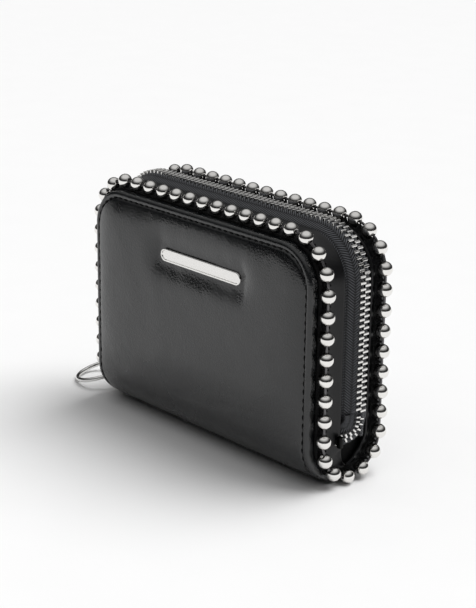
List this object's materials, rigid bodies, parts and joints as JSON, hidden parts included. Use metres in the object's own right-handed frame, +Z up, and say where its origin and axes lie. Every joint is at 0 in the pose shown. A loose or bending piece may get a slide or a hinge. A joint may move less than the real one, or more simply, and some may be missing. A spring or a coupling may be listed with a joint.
{
  "type": "chain wallet",
  "caption": "Small black padded zip-around leather wallet standing on its rounded spine, edged all round with a silver ball chain, with a pull ring and inner card and coin pockets.",
  "frame": {"origin": "on the surface it stands on, midway between the left and right and the front and back runs of the ball chain", "axes": "+X to the right along the spine, +Y from the front cover to the back cover, +Z up"},
  "size_m": [0.1412, 0.0368, 0.0875],
  "materials": {
    "cover_leather": "smooth glossy black coated leather",
    "band_leather": "smooth semi-gloss black leather",
    "pocket_leather": "fine-grain matt black leather",
    "foam": "soft grey foam sheet",
    "stiffener_board": "grey-brown pressed fibre board",
    "lining_cloth": "black polyester twill",
    "binding_cloth": "black woven binding",
    "zip_tape": "black herringbone woven tape",
    "zip_metal": "bright silver teeth",
    "chain_metal": "polished nickel plate",
    "badge_metal": "polished nickel plate",
    "ring_metal": "polished nickel plate",
    "hardware_metal": "satin nickel"
  },
  "bodies": {
    "back_half": {"back_cover": "cover_leather", "back_padding": "foam", "back_board": "stiffener_board", "back_lining": "lining_cloth", "back_card_pocket_back": "pocket_leather", "back_card_pocket_middle": "pocket_leather", "back_card_pocket_front": "pocket_leather", "back_chain_bed": "binding_cloth", "back_chain_balls": "chain_metal", "back_chain_links": "chain_metal", "back_side_band": "band_leather", "back_zip_tape": "zip_tape", "back_zip_teeth": "zip_metal", "spine_cover": "cover_leather", "spine_lining": "lining_cloth", "spine_chain_bed": "binding_cloth", "spine_chain_balls": "chain_metal", "spine_chain_links": "chain_metal", "end_gussets": "band_leather", "zip_end_tape": "zip_tape", "zip_end_teeth": "zip_metal", "zip_bottom_stop": "zip_metal", "zip_top_stops": "zip_metal", "coin_pocket_front_wall": "lining_cloth", "coin_pocket_back_wall": "lining_cloth", "coin_pocket_edging": "band_leather", "coin_zip_tape": "zip_tape", "coin_zip_teeth": "zip_metal"},
    "front_half": {"front_cover": "cover_leather", "front_padding": "foam", "front_board": "stiffener_board", "front_lining": "lining_cloth", "front_card_pocket_back": "pocket_leather", "front_card_pocket_middle": "pocket_leather", "front_card_pocket_front": "pocket_leather", "front_chain_bed": "binding_cloth", "front_chain_balls": "chain_metal", "front_chain_links": "chain_metal", "front_side_band": "band_leather", "front_zip_tape": "zip_tape", "front_zip_teeth": "zip_metal", "badge_bar": "badge_metal", "badge_pins": "hardware_metal", "badge_washers": "hardware_metal"},
    "zip_slider": {"zip_slider_body": "hardware_metal", "zip_slider_bail": "hardware_metal"},
    "link": {"pull_link": "hardware_metal"},
    "ring": {"pull_ring": "ring_metal"},
    "coin_slider": {"coin_slider_body": "hardware_metal", "coin_slider_bail": "hardware_metal"},
    "coin_tab": {"coin_pull_tab": "hardware_metal"}
  },
  "joints": [
    {"name": "cover_fold", "type": "hinge", "parent": "back_half", "child": "front_half", "pos_m": [0, -0.0178, 0.016], "axis": [1, 0, 0], "range_deg": [0, 100]},
    {"name": "zip_run", "type": "slide", "parent": "back_half", "child": "zip_slider", "axis": [0, 0, 1], "range_m": [0, 0.042], "deforming": ["front_zip_teeth", "back_zip_teeth"]},
    {"name": "link_swing", "type": "hinge", "parent": "zip_slider", "child": "link", "pos_m": [-0.06265, 0.002, 0.0148], "axis": [0, 1, 0], "range_deg": [0, 80]},
    {"name": "ring_swing", "type": "hinge", "parent": "link", "child": "ring", "pos_m": [-0.06265, 0.002, 0.0069], "axis": [-0.6115, 0.7912, 0], "range_deg": [0, 45]},
    {"name": "coin_zip_run", "type": "slide", "parent": "back_half", "child": "coin_slider", "axis": [-1, 0, 0], "range_m": [0, 0.076], "deforming": ["coin_zip_teeth"]},
    {"name": "coin_tab_lift", "type": "hinge", "parent": "coin_slider", "child": "coin_tab", "pos_m": [0.03905, -0.0002, 0.0716], "axis": [0, 1, 0], "range_deg": [0, 120]}
  ]
}
